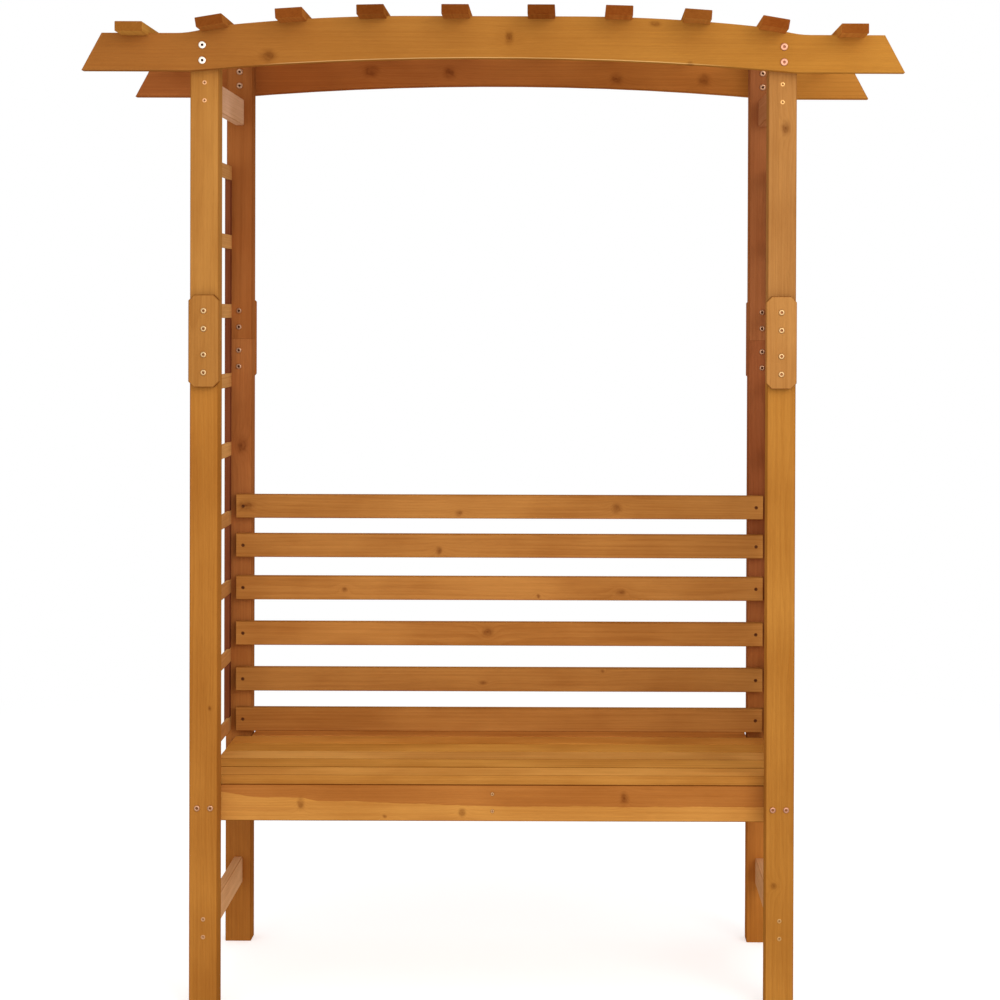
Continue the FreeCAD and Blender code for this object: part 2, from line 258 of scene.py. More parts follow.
knot_group = make_knot_group()
timber_group = make_timber_group()
order_of = {
    "z across x": "ZXY",
    "z across y": "ZYX",
    "x across z": "XZY",
    "x across y": "XYZ",
    "y across x": "YXZ",
    "y across z": "YZX",
}


def board_place(g, middle, run):
    """Point of a board as along, across and through it, measured from its middle."""
    point = g.add("ShaderNodeTexCoord").outputs["Object"]
    offset = g.vector_math("SUBTRACT", point, tuple(middle))
    parts = dict(zip("XYZ", g.separate(offset)))
    return g.combine(*(parts[axis] for axis in order_of[run]))


def end_grain(g, run):
    """1 on the cut ends of a board, where the stain soaks in, and 0 on its long faces."""
    normal = g.add(
        "ShaderNodeVectorTransform", vector_type="NORMAL", convert_from="WORLD", convert_to="OBJECT",
    )
    g.feed(normal.inputs[0], g.add("ShaderNodeNewGeometry").outputs["Normal"])
    along = dict(zip("xyz", g.separate(normal.outputs[0])))[run[0]]
    return g.map_range(g.math("ABSOLUTE", along), 0.55, 0.85)


def arris(g):
    """1 on the narrow slanting faces along a board's edges."""
    normal = g.add("ShaderNodeNewGeometry").outputs["True Normal"]
    x, y, z = g.separate(g.vector_math("ABSOLUTE", normal))
    squarest = g.math("MAXIMUM", g.math("MAXIMUM", x, y), z)
    return g.map_range(squarest, 0.90, 0.80)


def tinted(g, share, colour, tint):
    """Colour that is multiplied by the tint where share is 1, and kept where it is 0."""
    return g.mix(share, colour, g.mix(1.0, colour, tint, "MULTIPLY"))


def wood_material(name, middle, seed, run, tone, deep, heart, knots, grain, edge, tints_and_painted_light, strips):
    """Material of one board. Knots are (along, across, radius, stretch)."""
    material = bpy.data.materials.new(name)
    material.use_nodes = True
    g = Graph(material.node_tree)
    shader = material.node_tree.nodes["Principled BSDF"]
    place = board_place(g, middle, run)
    if strips:
        # Each strip of such a piece has a seed of its own
        strip = g.add("ShaderNodeNewGeometry").outputs["Random Per Island"]
        seed = g.math("MULTIPLY_ADD", strip, strip_seeds, seed)
    field = 0.0
    dark = 0.0
    for along, across, radius, stretch in knots:
        knot = g.group(knot_group, Place=place, Centre=(along, across, 0.0), Radius=radius, Stretch=stretch)
        field = g.math("ADD", knot["Field"], field)
        dark = g.math("MAXIMUM", knot["Dark"], dark)
    timber = g.group(
        timber_group, Place=place, Seed=seed, Heart=(0.0, *heart), Knots=field, Dark=dark,
        Tone=tone, Deep=deep, Grain=grain,
    )
    colour = timber["Colour"]
    # Tints laid over the grain: sapwood, and on some boards painted light and shade
    for change in tints_and_painted_light:
        colour = change(g, place, colour)
    colour = tinted(g, end_grain(g, run), colour, end_grain_tint)
    colour = tinted(g, arris(g), colour, (*edge, 1.0))
    bump = g.add("ShaderNodeBump")
    bump.inputs["Strength"].default_value = 0.35
    bump.inputs["Distance"].default_value = grain_relief
    g.feed(bump.inputs["Height"], timber["Height"])
    g.feed(shader.inputs["Base Color"], colour)
    g.feed(shader.inputs["Roughness"], timber["Roughness"])
    g.feed(shader.inputs["Normal"], bump.outputs[0])
    shader.inputs["Specular IOR Level"].default_value = 0.0
    return material


# Painted light: the top of the front seat slat is made lighter than its front face
slat_top_start = -0.0330    # across the front seat slat, a little behind its front face
slat_top_full = -0.0310
top_light_tint = (1.57, 1.75, 2.02, 1.0)
# Painted highlight along the lower front edge of the front beam, as light from the floor would catch it
highlight_fade_start = 0.36         # along the front beam to each side, where the light line begins to fade
highlight_fade_end = 0.46
lower_edge_highlight_tint = (1.6, 2.2, 4.2, 1.0)
sapwood_wave = 0.002        # rise and fall of the sapwood's upper limit
sapwood_tint = (1.33, 1.62, 1.64, 1.0)


def light_and_tone_along(*stops):
    """Colour of a board that changes along its run, from (along, tint) stops. On the rear posts and the
    rear beam it paints light and shade.
    """
    start = stops[0][0]
    span = stops[-1][0] - start

    def along_tint(g, place, colour):
        share = g.math("DIVIDE", g.math("SUBTRACT", g.separate(place)[0], start), span)
        # A ramp holds levels up to 1, so it runs through half the tint
        halves = [((along - start) / span, tuple(part / 2 for part in tint)) for along, tint in stops]
        tint = g.vector_math("MULTIPLY", g.ramp(share, halves), (2.0, 2.0, 2.0))
        return g.mix(1.0, colour, tint, "MULTIPLY")
    return along_tint


def painted_top_light(g, place, colour):
    """Painted light from above on the top of the front seat slat, behind its front face."""
    top = g.map_range(g.separate(place)[1], slat_top_start, slat_top_full)
    return tinted(g, top, colour, top_light_tint)


def painted_lower_edge_highlight(g, place, colour):
    """Painted highlight on the lower front edge of a board, standing in for light from the floor."""
    z = g.separate(g.add("ShaderNodeNewGeometry").outputs["True Normal"])[2]
    edge = g.math("MULTIPLY", g.map_range(z, -0.20, -0.35), g.map_range(z, -0.96, -0.90))
    from_middle = g.math("ABSOLUTE", g.separate(place)[0])
    edge = g.math("MULTIPLY", edge, g.map_range(from_middle, highlight_fade_end, highlight_fade_start))
    return tinted(g, edge, colour, lower_edge_highlight_tint)


def pale_lower_band(g, place, colour):
    """Sapwood along the lower half of the front seat rail, with a wavy upper limit."""
    along, across, _ = g.separate(place)
    wave = g.noise(place, (9.0, 0.0, 0.0), 4.0, 0.65)
    wave = g.map_range(wave, 0.3, 0.7, -sapwood_wave, sapwood_wave, smooth=False)
    drop = g.map_range(along, -0.53, -0.44, 0.020, 0.010)
    step = g.map_range(along, -0.37, -0.33, 0.0, -0.007)
    fall = g.map_range(along, -0.33, 0.05, 0.0, -0.009)
    limit = g.math("ADD", g.math("ADD", drop, step), g.math("ADD", fall, wave))
    below = g.math("SUBTRACT", limit, across)
    band = g.map_range(below, -0.0006, 0.0010)
    fade = g.noise(place, (3.0, 40.0, 0.0), 2.0)
    band = g.math("MULTIPLY", band, g.map_range(fade, 0.2, 0.5, 0.55, 1.0))
    return tinted(g, band, colour, sapwood_tint)


# Boards. Each stain has a display colour for its lighter parts and one for its deeper parts.

post_tone = srgb(198, 130, 52)
post_deep = srgb(160, 94, 30)
# The rear stain is darker and redder than the front one: partly the wood's own tone, partly painted shade
# of the parts set back under the roof
rear_tone = srgb(182, 108, 52)
rear_deep = srgb(142, 74, 30)
beam_tone = srgb(193, 126, 48)
beam_deep = srgb(158, 92, 30)
back_tone = srgb(200, 130, 64)
back_deep = srgb(160, 92, 38)
seat_tone = srgb(208, 142, 62)
seat_deep = srgb(168, 102, 36)
roof_tone = srgb(184, 112, 44)
roof_deep = srgb(146, 76, 22)
rail_tone = srgb(222, 164, 120)
rail_deep = srgb(184, 124, 78)

# Tint of the eased edges against the face beside them
stained_edge = (0.80, 0.72, 0.60)
# Darker edges along the gaps between the seat slats and on the front seat rail: partly pooled stain, partly
# painted shade in the gaps
dark_edge = (0.42, 0.32, 0.18)
pooled_stain_and_gap_shade_edge = (0.62, 0.52, 0.38)
# Lighter edges of the front beam: painted highlight
painted_highlight_edge = (1.12, 1.15, 1.20)
even_edge = (1.0, 1.0, 1.0)

seed_step = 1.37            # between two boards

boards = {}


def shaded(colour, shade):
    """Colour times one level, or times a level for each of red, green and blue."""
    levels = shade if isinstance(shade, tuple) else (shade, shade, shade)
    return (*(part * level for part, level in zip(colour, levels)), 1.0)


def board(node, run, tone, deep, heart=(0.09, 0.05), knots=(), grain=1.0, edge=stained_edge, shade=1.0,
          tints_and_painted_light=(), strips=False):
    """Notes the look of one board, or of several strips in one piece.

    Heart is the middle of the growth rings, across and through the board.
    """
    boards[node] = {
        "run": run,
        "tone": shaded(tone, shade),
        "deep": shaded(deep, shade),
        "heart": heart,
        "knots": knots,
        "grain": grain,
        "edge": edge,
        "tints_and_painted_light": tints_and_painted_light,
        "strips": strips,
    }


def list_posts():
    tones = {"front": (post_tone, post_deep), "rear": (rear_tone, rear_deep)}
    shades = {
        "front_left_upper_post": (0.86, 0.97, 1.44),
        "front_right_upper_post": (0.82, 0.94, 1.72),
        "front_left_lower_post": (0.83, 0.85, 1.00),
        "front_right_lower_post": (0.86, 0.92, 1.06),
        "rear_left_upper_post": (0.91, 0.98, 1.10),
        "rear_right_upper_post": (0.90, 0.99, 1.47),
        "front_left_splice_plate": (0.77, 0.84, 1.28),
        "front_right_splice_plate": (0.92, 1.08, 1.96),
    }
    knots = {
        "front_left_lower_post": [(-0.063, 0.012, 0.002, 1.4)],
        "front_right_lower_post": [(-0.399, -0.011, 0.005, 0.8)],
        "front_right_upper_post": [(0.12, 0.006, 0.005, 1.6)],
        "rear_left_lower_post": [(0.41, 0.006, 0.007, 1.5)],
    }
    # Rear lower posts: painted light toward the foot, as if bounced up from the floor, and on the right
    # post painted shade higher up
    rear_left_post_light_and_shade = light_and_tone_along(
        (-0.60, (1.00, 1.19, 0.95)), (-0.35, (0.98, 1.14, 1.03)), (0.20, (0.97, 1.06, 1.30)),
        (0.60, (0.94, 1.04, 1.27)),
    )
    rear_right_post_light_and_shade = light_and_tone_along(
        (-0.60, (1.10, 1.28, 0.95)), (-0.35, (1.04, 1.15, 1.03)), (0.20, (0.82, 0.80, 1.18)),
        (0.60, (0.78, 0.76, 1.12)),
    )
    tints_and_painted_light = {"rear_left_lower_post": [rear_left_post_light_and_shade], "rear_right_lower_post": [rear_right_post_light_and_shade]}
    for end, (tone, deep) in tones.items():
        for side, right in sides.items():
            for part, shift in (("lower", -0.02), ("upper", 0.03)):
                node = f"{end}_{side}_{part}_post"
                heart = (right * 0.05 + shift, 0.075)
                board(node, "z across x", tone, deep, heart, knots.get(node, ()), 0.85,
                      shade=shades.get(node, 1.0), tints_and_painted_light=tints_and_painted_light.get(node, ()))
            node = f"{end}_{side}_splice_plate"
            board(node, "z across x", tone, deep, (0.02 * right, 0.11), shade=shades.get(node, 1.0))


def list_roof():
    # Front beam: darker toward its left end
    front_beam_tone = light_and_tone_along(
        (-0.62, (0.67, 0.63, 0.90)), (-0.48, (0.72, 0.71, 0.99)), (-0.31, (0.75, 0.76, 0.98)),
        (-0.10, (0.84, 0.90, 1.18)), (0.15, (0.79, 0.82, 0.99)), (0.36, (0.84, 0.91, 1.10)),
        (0.66, (0.94, 1.03, 1.17)),
    )
    # Rear beam: painted shade between the posts, under the front beam and the roof slats, and painted light
    # on its ends outside the posts
    rear_beam_light_and_shade = light_and_tone_along(
        (-0.60, (1.00, 1.01, 1.12)), (-0.47, (0.81, 0.71, 0.65)), (-0.32, (0.95, 0.92, 0.91)),
        (-0.07, (0.84, 0.82, 0.82)), (0.27, (0.98, 1.05, 0.91)), (0.45, (1.14, 1.27, 1.09)),
        (0.60, (1.27, 1.69, 1.30)),
    )
    front_knots = [
        (0.030, 0.011, 0.008, 0.6), (-0.425, -0.024, 0.007, 1.3), (0.306, 0.039, 0.004, 1.6),
        (0.372, -0.037, 0.003, 1.2),
    ]
    rear_knots = [
        (-0.277, 0.003, 0.008, 1.2), (-0.111, 0.000, 0.008, 1.0), (0.243, -0.011, 0.007, 1.1),
        (0.429, -0.013, 0.008, 1.0),
    ]
    board("front_beam", "x across z", beam_tone, beam_deep, (-0.16, 0.11), front_knots, 0.7, painted_highlight_edge,
          tints_and_painted_light=[front_beam_tone, painted_lower_edge_highlight])
    board("rear_beam", "x across z", rear_tone, rear_deep, (0.12, 0.09), rear_knots, 0.8,
          tints_and_painted_light=[rear_beam_light_and_shade])
    shades = (1.21, 0.89, 0.99, 0.83, 0.93, 0.85, 1.11, 1.05, 1.19, 1.34)
    yellows = (1.40, 1.06, 1.06, 1.06, 1.06, 1.06, 1.06, 1.20, 1.06, 1.20)
    for number, (shade, yellow) in enumerate(zip(shades, yellows), 1):
        heart = (0.07 - 0.011 * number, -0.045 - 0.003 * number)
        board(f"roof_slat_{number:02d}", "y across x", roof_tone, roof_deep, heart,
              shade=(shade, yellow * shade, 1.25 * yellow * shade))


def list_sides():
    for side in sides:
        # Painted light on the left top rail's inner face and painted shade on the right one
        shade = (1.17, 1.38, 1.65) if side == "left" else (0.78, 0.64, 0.53)
        board(f"{side}_top_side_rail", "y across z", rail_tone, rail_deep, (0.08, 0.05), shade=shade)
        board(f"{side}_lower_side_stretcher", "y across z", rail_tone, rail_deep, (-0.07, 0.04),
              shade=(1.13, 1.27, 1.24))
        for end in ends:
            # Trellis stiles darkened: painted shade behind the rungs, next to the posts
            board(f"{side}_trellis_{end}_stile", "z across y", rear_tone, rear_deep, (0.06, 0.05),
                  shade=(0.48, 0.43, 0.75))
        # Trellis rungs lightened: painted light on their inner faces
        board(f"{side}_trellis_rungs", "y across z", rear_tone, rear_deep, (1.4, 0.05),
              shade=(1.55, 2.45, 3.40), strips=True)
        board(f"{side}_trellis_laths", "z across y", rear_tone, rear_deep, (0.14, 0.05), strips=True)


def list_seat_and_back():
    back_knots = {
        1: [(-0.085, -0.013, 0.004, 1.2), (0.245, -0.003, 0.006, 1.0), (-0.532, 0.001, 0.007, 1.6)],
        2: [(-0.127, -0.010, 0.005, 0.8)],
        3: [(-0.325, -0.003, 0.003, 1.2), (0.082, -0.016, 0.0025, 1.0), (0.254, -0.007, 0.0035, 1.8)],
        4: [(-0.024, 0.004, 0.006, 1.1)],
        5: [(-0.034, -0.006, 0.003, 1.8), (0.217, 0.018, 0.0025, 1.0)],
    }
    rail_knots = [
        (-0.369, -0.002, 0.007, 0.6), (-0.207, -0.026, 0.002, 1.2), (-0.058, -0.018, 0.005, 0.8),
        (0.254, 0.010, 0.007, 0.7),
    ]
    back_shades = (0.90, 0.92, 0.95, 0.95, 0.82, 0.87)
    seat_shades = ((0.85, 0.87, 1.00), (1.25, 1.43, 1.72), (1.33, 1.60, 2.33), (1.20, 1.35, 1.50),
                   (1.24, 1.31, 1.49), (1.26, 1.12, 1.32))
    # Darker edges of seat slats 2 and 3: partly pooled stain, partly painted shade in the gaps between the
    # slats
    seat_edges = (even_edge, dark_edge, pooled_stain_and_gap_shade_edge, stained_edge, stained_edge, even_edge)
    for number, shade in enumerate(back_shades, 1):
        heart = (0.10 - 0.03 * number, 0.05 + 0.012 * number)
        board(f"back_slat_{number}", "x across z", back_tone, back_deep, heart, back_knots.get(number, ()),
              shade=(shade, 1.12 * shade, 1.17 * shade))
    for number, (shade, edge) in enumerate(zip(seat_shades, seat_edges), 1):
        heart = (-0.08 + 0.03 * number, -0.06 - 0.008 * number)
        board(f"seat_slat_{number}", "x across y", seat_tone, seat_deep, heart, edge=edge, shade=shade,
              tints_and_painted_light=[painted_top_light] if number == 1 else ())
    board("front_seat_rail", "x across z", seat_tone, seat_deep, (0.10, 0.06), rail_knots, 0.8, dark_edge,
          (0.74, 0.64, 0.78), [pale_lower_band])
    board("rear_seat_rail", "x across z", seat_tone, seat_deep, (-0.09, 0.06))
    for side in ("left", "middle", "right"):
        board(f"{side}_seat_bearer", "y across z", seat_tone, seat_deep, (0.08, 0.05))


list_posts()
list_roof()
list_sides()
list_seat_and_back()


# Softened edges on every board

edge_rounding = 0.0006


def soften(piece):
    """Rounds the sawn edges of a board."""
    weld = piece.modifiers.new("Weld", "WELD")
    weld.merge_threshold = 1e-5
    join = piece.modifiers.new("Flat faces", "DECIMATE")
    join.decimate_type = "DISSOLVE"
    join.angle_limit = math.radians(0.5)
    bevel = piece.modifiers.new("Rounded edges", "BEVEL")
    bevel.width = edge_rounding
    bevel.segments = 2
    bevel.limit_method = "ANGLE"
    bevel.angle_limit = math.radians(30)
    bevel.use_clamp_overlap = True
    piece.modifiers.new("Shading", "WEIGHTED_NORMAL")


for order, (node, look) in enumerate(boards.items()):
    low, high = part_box(node)
    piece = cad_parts[node]
    piece.data.materials.clear()
    piece.data.materials.append(wood_material(f"wood_{node}", (low + high) / 2, order * seed_step, **look))
    soften(piece)


# Metal

scuff_tint = (0.72, 0.72, 0.72, 1.0)
side_blend = 0.3            # to each side of the middle, where the colour changes from left to right
rear_blend = 0.1            # before and behind the middle, where it changes to the rear colour


def metal_material(name, left, right, rear, roughness):
    """Plated steel with fine scuffs, in one colour at the front left, the front right and the rear. These
    colours paint the reflections and shade that the bolts show there.
    """
    material = bpy.data.materials.new(name)
    material.use_nodes = True
    g = Graph(material.node_tree)
    shader = material.node_tree.nodes["Principled BSDF"]
    point = g.add("ShaderNodeTexCoord").outputs["Object"]
    x, y, _ = g.separate(point)
    colour = g.mix(g.map_range(x, -side_blend, side_blend), left, right)
    colour = g.mix(g.map_range(y, -rear_blend, rear_blend), colour, rear)
    scuffs = g.noise(point, (900.0, 900.0, 900.0), 3.0)
    g.feed(shader.inputs["Base Color"], tinted(g, scuffs, colour, scuff_tint))
    g.feed(shader.inputs["Roughness"], g.map_range(scuffs, 0.3, 0.7, roughness - 0.06, roughness + 0.10))
    shader.inputs["Metallic"].default_value = 1.0
    return material


# Zinc colours paint reflections: cream and pink where bolts mirror the wood, and a darker rear colour as
# painted shade
rear_zinc_shade_and_reflection = srgb(196, 152, 120)
rear_socket_shade = srgb(92, 54, 34)
# The front left beam bolts are white: painted reflection of a bright light
beam_zinc = metal_material("beam_bolt_zinc", srgb(240, 226, 212), srgb(196, 140, 114), rear_zinc_shade_and_reflection, 0.30)
plate_zinc = metal_material("plate_bolt_zinc", srgb(206, 170, 122), srgb(204, 164, 114), rear_zinc_shade_and_reflection, 0.32)
seat_zinc = metal_material("seat_bolt_zinc", srgb(206, 154, 118), srgb(206, 148, 118), rear_zinc_shade_and_reflection, 0.32)
yellow_zinc = metal_material("yellow_zinc", srgb(214, 160, 114), srgb(208, 158, 98), rear_zinc_shade_and_reflection, 0.34)
dark_steel = metal_material("dark_steel", srgb(108, 64, 34), srgb(118, 68, 34), srgb(112, 66, 36), 0.45)
# Socket colours: painted shade in the hexagon recesses, and on the right of the beam a painted pinkish
# reflection
beam_socket_shade_and_reflection = metal_material("beam_bolt_socket_shade", srgb(58, 42, 36), srgb(186, 120, 92), rear_socket_shade, 0.6)
socket_shade = metal_material("socket_shade", srgb(150, 94, 54), srgb(168, 108, 66), rear_socket_shade, 0.6)


# Fasteners

circle_sides = 36
socket_flat = 0.0022        # half the hexagon socket across its flats
socket_depth = 0.0020
head_height = 0.0024
shank_radius = 0.0031
plate_head_radius = 0.0056
beam_head_radius = 0.0072
beam_nut_radius = 0.0064
seat_head_radius = 0.0056
seat_bolt_length = 0.061
overlap = 0.0001            # between a bolt's shank and its head
cross_reach = 0.0021        # from the middle of a cross recess to the end of an arm
cross_core = 0.0009         # and to the corner between two arms
cross_half_arm = math.radians(17)
recess_depth = 0.0016
countersink_depth = 0.0030
above = 0.00015             # a screw head's height over the wood
flush = -0.0003
sunk = -0.0004

# Screws: radius of the head, length
screw_sizes = {
    "frame": (0.0042, 0.070),
    "bearer": (0.0034, 0.070),
    "back slat": (0.0036, 0.040),
    "seat slat": (0.0034, 0.035),
    "roof slat": (0.0040, 0.040),
    "stile": (0.0026, 0.045),
}

# Pins of the laths: radius, height over the lath
pin_rings = [(0.0007, -0.0095), (0.0007, -0.0004), (0.0016, -0.0003), (0.0016, 0.0001), (0.0010, 0.0004)]


def circle(bm, radius, depth, turn):
    """Ring of vertices about the local Z axis, at a depth along it."""
    ring = []
    for index in range(circle_sides):
        angle = 2 * math.pi * index / circle_sides
        reach = radius(angle) if callable(radius) else radius
        ring.append(bm.verts.new(turn @ Vector((reach * math.cos(angle), reach * math.sin(angle), depth))))
    return ring


def turned(bm, profile, turn):
    """Closed body from (radius, depth) rings, capped at both ends. Recess faces get the second material,
    which paints their shade.
    """
    rings = [circle(bm, radius, depth, turn) for radius, depth in profile]
    shaped = [callable(radius) for radius, _ in profile]
    for step, (first, second) in enumerate(zip(rings, rings[1:])):
        for index in range(circle_sides):
            after = (index + 1) % circle_sides
            face = bm.faces.new((first[index], first[after], second[after], second[index]))
            face.smooth = True
            face.material_index = int(shaped[step] and shaped[step + 1])
    for ring, recess in ((list(reversed(rings[0])), shaped[0]), (rings[-1], shaped[-1])):
        bm.faces.new(ring).material_index = int(recess)


def hexagon(angle):
    """Radius of the hexagon socket at an angle."""
    sector = (angle + math.pi / 6) % (math.pi / 3) - math.pi / 6
    return socket_flat / math.cos(sector)


def cross(angle):
    """Radius of the cross-shaped recess of a small screw at an angle."""
    sector = abs((angle + math.pi / 4) % (math.pi / 2) - math.pi / 4)
    return cross_reach if sector < cross_half_arm else cross_core


def bolt_end(radius):
    """Rings of a flat round head with a hexagon socket, from the board's face outward."""
    return [
        (radius, 0.0),
        (radius, head_height * 0.55),
        (radius - 0.0004, head_height * 0.85),
        (radius - 0.0012, head_height),
        (socket_flat + 0.0008, head_height),
        (hexagon, head_height - 0.0002),
        (hexagon, head_height - socket_depth),
    ]


def along_y(centre, outward):
    """Turn that carries local Z to the front or rear at a place."""
    return Matrix.Translation(centre) @ Matrix.Rotation(math.radians(-90 * outward), 4, "X")


def facing(centre, normal):
    """Turn that carries local Z to the normal at a place."""
    return Matrix.Translation(centre) @ normal.to_track_quat("Z", "Y").to_matrix().to_4x4()


def through_bolt(bm, centre, outward, grip, head_radius, nut_radius):
    """Bolt along Y with its head on the face at centre and its sleeve nut at the far end."""
    head = list(reversed(bolt_end(head_radius)))
    shank = [(shank_radius, -overlap), (shank_radius, -grip + overlap)]
    nut = [(radius, -grip - depth) for radius, depth in bolt_end(nut_radius)]
    turned(bm, head + shank + nut, along_y(centre, outward))


def blind_bolt(bm, centre, outward, length, head_radius):
    """Bolt along Y with its head on the face at centre, ending inside the wood."""
    head = list(reversed(bolt_end(head_radius)))
    shank = [(shank_radius, -overlap), (shank_radius, -length)]
    turned(bm, head + shank, along_y(centre, outward))


def wood_screw(bm, centre, normal, kind, level):
    """Countersunk screw with a cross recess. Its head lies at centre, at a level over the wood."""
    radius, length = screw_sizes[kind]
    turned(bm, [
        (cross, level - recess_depth),
        (cross, level - 0.0001),
        (0.0023, level),
        (radius - 0.0003, level),
        (radius, level - 0.0002),
        (radius, level - 0.0004),
        (radius / 2, -countersink_depth),
        (radius / 2, -length),
    ], facing(centre, normal))


def add_piece(name, build, materials, slot, *replaced):
    """One mesh piece on the fixed body, from a function that fills a bmesh. Materials: metal, painted shade
    of the recess.
    """
    bm = bmesh.new()
    build(bm)
    bmesh.ops.recalc_face_normals(bm, faces=bm.faces)
    mesh = bpy.data.meshes.new(name)
    bm.to_mesh(mesh)
    bm.free()
    for material in materials:
        mesh.materials.append(material)
    piece = bpy.data.objects.new(name, mesh)
    bpy.context.scene.collection.objects.link(piece)
    piece.modifiers.new("Shading", "WEIGHTED_NORMAL")
    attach(piece, "root")
    if replaced:
        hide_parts(*replaced)


splice_rises = (-0.0585, -0.0245, 0.0245, 0.0585)
beam_bolt_levels = (1.800, 1.829)
seat_bolt_level = 0.380
seat_bolt_offsets = (0.5355, 0.561)
bearer_screw_levels = (0.3655, 0.3985)
back_screw_offset = 0.5375
roof_slat_thickness = 0.0185
half_strip = 0.0145         # half the width of a rung or lath
rung_pitch = 0.1445
rung_count = 9
lath_pitch = 0.082
side_screw_rise = 0.017
screw_wander = 0.004        # of the seat slats' screws, from the middle of the slat
stile_screw_steps = (0.5, 3.5, 7.5)     # in rung pitches above the lowest rung


def splice_bolts(bm):
    """Four bolts through each splice plate and the ends of the two posts behind it."""
    for end, back in ends.items():
        for side in sides:
            low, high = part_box(f"{end}_{side}_splice_plate")
            post_low, post_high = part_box(f"{end}_{side}_upper_post")
            x = (low.x + high.x) / 2
            face = high.y if back > 0 else low.y
            grip = (high.y - low.y) + (post_high.y - post_low.y)
            for rise in splice_rises:
                centre = Vector((x, face, post_low.z + rise))
                through_bolt(bm, centre, back, grip, plate_head_radius, plate_head_radius)


def beam_bolts(bm):
    """Two bolts, one above the other, through each beam and post."""
    for end, back in ends.items():
        low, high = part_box(f"{end}_beam")
        face = high.y if back > 0 else low.y
        for side in sides:
            post_low, post_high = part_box(f"{end}_{side}_upper_post")
            x = (post_low.x + post_high.x) / 2
            grip = (high.y - low.y) + (post_high.y - post_low.y)
            for level in beam_bolt_levels:
                through_bolt(bm, Vector((x, face, level)), back, grip, beam_head_radius, beam_nut_radius)


def seat_bolts(bm):
    """Two bolts side by side at each post, where a seat rail is held."""
    faces = {"front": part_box("front_left_lower_post")[0].y, "rear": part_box("rear_seat_rail")[1].y}
    for end, back in ends.items():
        for side, right in sides.items():
            for offset in seat_bolt_offsets:
                centre = Vector((right * offset, faces[end], seat_bolt_level))
                blind_bolt(bm, centre, back, seat_bolt_length, seat_head_radius)


def frame_screws(bm):
    """Two screws, one above the other, into each end of every side rail and seat bearer."""
    for end, back in ends.items():
        for side in sides:
            for kind, part in (("top_side_rail", "upper"), ("lower_side_stretcher", "lower")):
                low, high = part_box(f"{side}_{kind}")
                post_low, post_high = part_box(f"{end}_{side}_{part}_post")
                face = post_high.y if back > 0 else post_low.y
                middle = (low + high) / 2
                for rise in (-side_screw_rise, side_screw_rise):
                    centre = Vector((middle.x, face, middle.z + rise))
                    wood_screw(bm, centre, Vector((0, back, 0)), "frame", above)
    for side in ("left", "middle", "right"):
        low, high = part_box(f"{side}_seat_bearer")
        x = (low.x + high.x) / 2
        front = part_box("front_seat_rail")[0].y
        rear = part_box("rear_seat_rail" if side == "middle" else f"rear_{side}_lower_post")[1].y
        for z in bearer_screw_levels:
            wood_screw(bm, Vector((x, front, z)), Vector((0, -1, 0)), "bearer", above)
            wood_screw(bm, Vector((x, rear, z)), Vector((0, 1, 0)), "bearer", above)


def back_slat_screws(bm):
    """One screw at each end of every back slat."""
    for number in range(1, 7):
        low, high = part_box(f"back_slat_{number}")
        for right in sides.values():
            centre = Vector((right * back_screw_offset, low.y, (low.z + high.z) / 2))
            wood_screw(bm, centre, Vector((0, -1, 0)), "back slat", sunk)


def seat_slat_screws(bm):
    """One screw where each slat crosses each bearer. The side bearers end under the last slat's edge."""
    for number in range(1, 7):
        low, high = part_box(f"seat_slat_{number}")
        for side in ("left", "middle", "right"):
            bearer_low, bearer_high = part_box(f"{side}_seat_bearer")
            if number == 6 and side != "middle":
                continue
            x = (bearer_low.x + bearer_high.x) / 2
            y = (low.y + high.y) / 2 + screw_wander * math.sin(7.0 * number + x)
            wood_screw(bm, Vector((x, y, high.z)), Vector((0, 0, 1)), "seat slat", flush)


def roof_slope(slat):
    """Sideways lean of a roof slat's top face."""
    flat = max(slat.data.polygons, key=lambda face: face.area * face.normal.z)
    return flat.normal.x / flat.normal.z


def roof_slat_screws(bm):
    """One screw through each roof slat into each beam."""
    for number in range(1, 11):
        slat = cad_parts[f"roof_slat_{number:02d}"]
        low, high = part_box(slat.name)
        x = (low.x + high.x) / 2
        normal = Vector((roof_slope(slat), 0, 1)).normalized()
        for end in ends:
            beam_low, beam_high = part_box(f"{end}_beam")
            y = (beam_low.y + beam_high.y) / 2
            middle = Vector((x, y, (low.z + high.z) / 2))
            wood_screw(bm, middle + normal * roof_slat_thickness / 2, normal, "roof slat", flush)


def stile_screws(bm):
    """Screws through each trellis stile into its post, between the rungs."""
    for end, back in ends.items():
        for side in sides:
            low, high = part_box(f"{side}_trellis_{end}_stile")
            face = low.y if back > 0 else high.y
            for step in stile_screw_steps:
                z = low.z + half_strip + rung_pitch * step
                centre = Vector(((low.x + high.x) / 2, face, z))
                wood_screw(bm, centre, Vector((0, -back, 0)), "stile", flush)


def lath_pins(bm):
    """Pin where each lath crosses each rung."""
    for side, right in sides.items():
        low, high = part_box(f"{side}_trellis_laths")
        face = high.x if right > 0 else low.x
        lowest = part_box(f"{side}_trellis_rungs")[0].z + half_strip
        for column in (-1, 0, 1):
            for row in range(rung_count):
                centre = Vector((face, column * lath_pitch, lowest + rung_pitch * row))
                turned(bm, pin_rings, facing(centre, Vector((right, 0, 0))))


